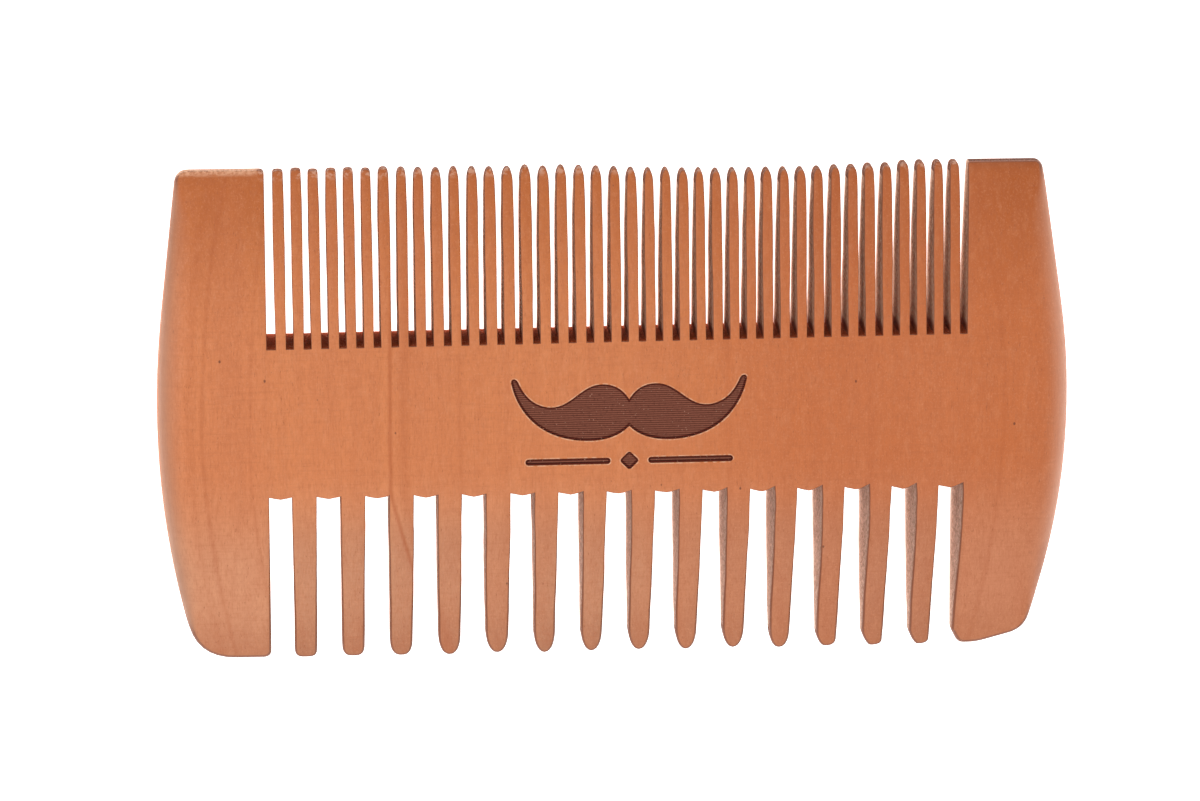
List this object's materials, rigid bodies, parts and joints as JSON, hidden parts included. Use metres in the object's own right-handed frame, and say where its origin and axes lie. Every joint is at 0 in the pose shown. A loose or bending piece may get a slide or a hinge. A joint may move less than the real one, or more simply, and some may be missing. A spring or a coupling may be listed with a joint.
{
  "type": "beard comb",
  "caption": "Double-sided wooden beard comb: a flat board with fine teeth along one long edge, coarse teeth along the other, and solid rounded guards at both ends.",
  "frame": {"origin": "on the back face, under the middle of the comb's bounding box, as it lies on its back", "axes": "+X along the comb's length, +Y towards the fine teeth, +Z out of the front face"},
  "size_m": [0.1, 0.0555, 0.008],
  "materials": {
    "comb_wood": "fine-sanded and lightly oiled, satin"
  },
  "bodies": {
    "root": {"spine": "comb_wood", "guard_left": "comb_wood", "guard_right": "comb_wood", "fine_tooth_01": "comb_wood", "fine_tooth_02": "comb_wood", "fine_tooth_03": "comb_wood", "fine_tooth_04": "comb_wood", "fine_tooth_05": "comb_wood", "fine_tooth_06": "comb_wood", "fine_tooth_07": "comb_wood", "fine_tooth_08": "comb_wood", "fine_tooth_09": "comb_wood", "fine_tooth_10": "comb_wood", "fine_tooth_11": "comb_wood", "fine_tooth_12": "comb_wood", "fine_tooth_13": "comb_wood", "fine_tooth_14": "comb_wood", "fine_tooth_15": "comb_wood", "fine_tooth_16": "comb_wood", "fine_tooth_17": "comb_wood", "fine_tooth_18": "comb_wood", "fine_tooth_19": "comb_wood", "fine_tooth_20": "comb_wood", "fine_tooth_21": "comb_wood", "fine_tooth_22": "comb_wood", "fine_tooth_23": "comb_wood", "fine_tooth_24": "comb_wood", "fine_tooth_25": "comb_wood", "fine_tooth_26": "comb_wood", "fine_tooth_27": "comb_wood", "fine_tooth_28": "comb_wood", "fine_tooth_29": "comb_wood", "fine_tooth_30": "comb_wood", "fine_tooth_31": "comb_wood", "fine_tooth_32": "comb_wood", "fine_tooth_33": "comb_wood", "fine_tooth_34": "comb_wood", "fine_tooth_35": "comb_wood", "fine_tooth_36": "comb_wood", "fine_tooth_37": "comb_wood", "fine_tooth_38": "comb_wood", "fine_tooth_39": "comb_wood", "fine_tooth_40": "comb_wood", "coarse_tooth_01": "comb_wood", "coarse_tooth_02": "comb_wood", "coarse_tooth_03": "comb_wood", "coarse_tooth_04": "comb_wood", "coarse_tooth_05": "comb_wood", "coarse_tooth_06": "comb_wood", "coarse_tooth_07": "comb_wood", "coarse_tooth_08": "comb_wood", "coarse_tooth_09": "comb_wood", "coarse_tooth_10": "comb_wood", "coarse_tooth_11": "comb_wood", "coarse_tooth_12": "comb_wood", "coarse_tooth_13": "comb_wood", "coarse_tooth_14": "comb_wood"}
  },
  "joints": []
}
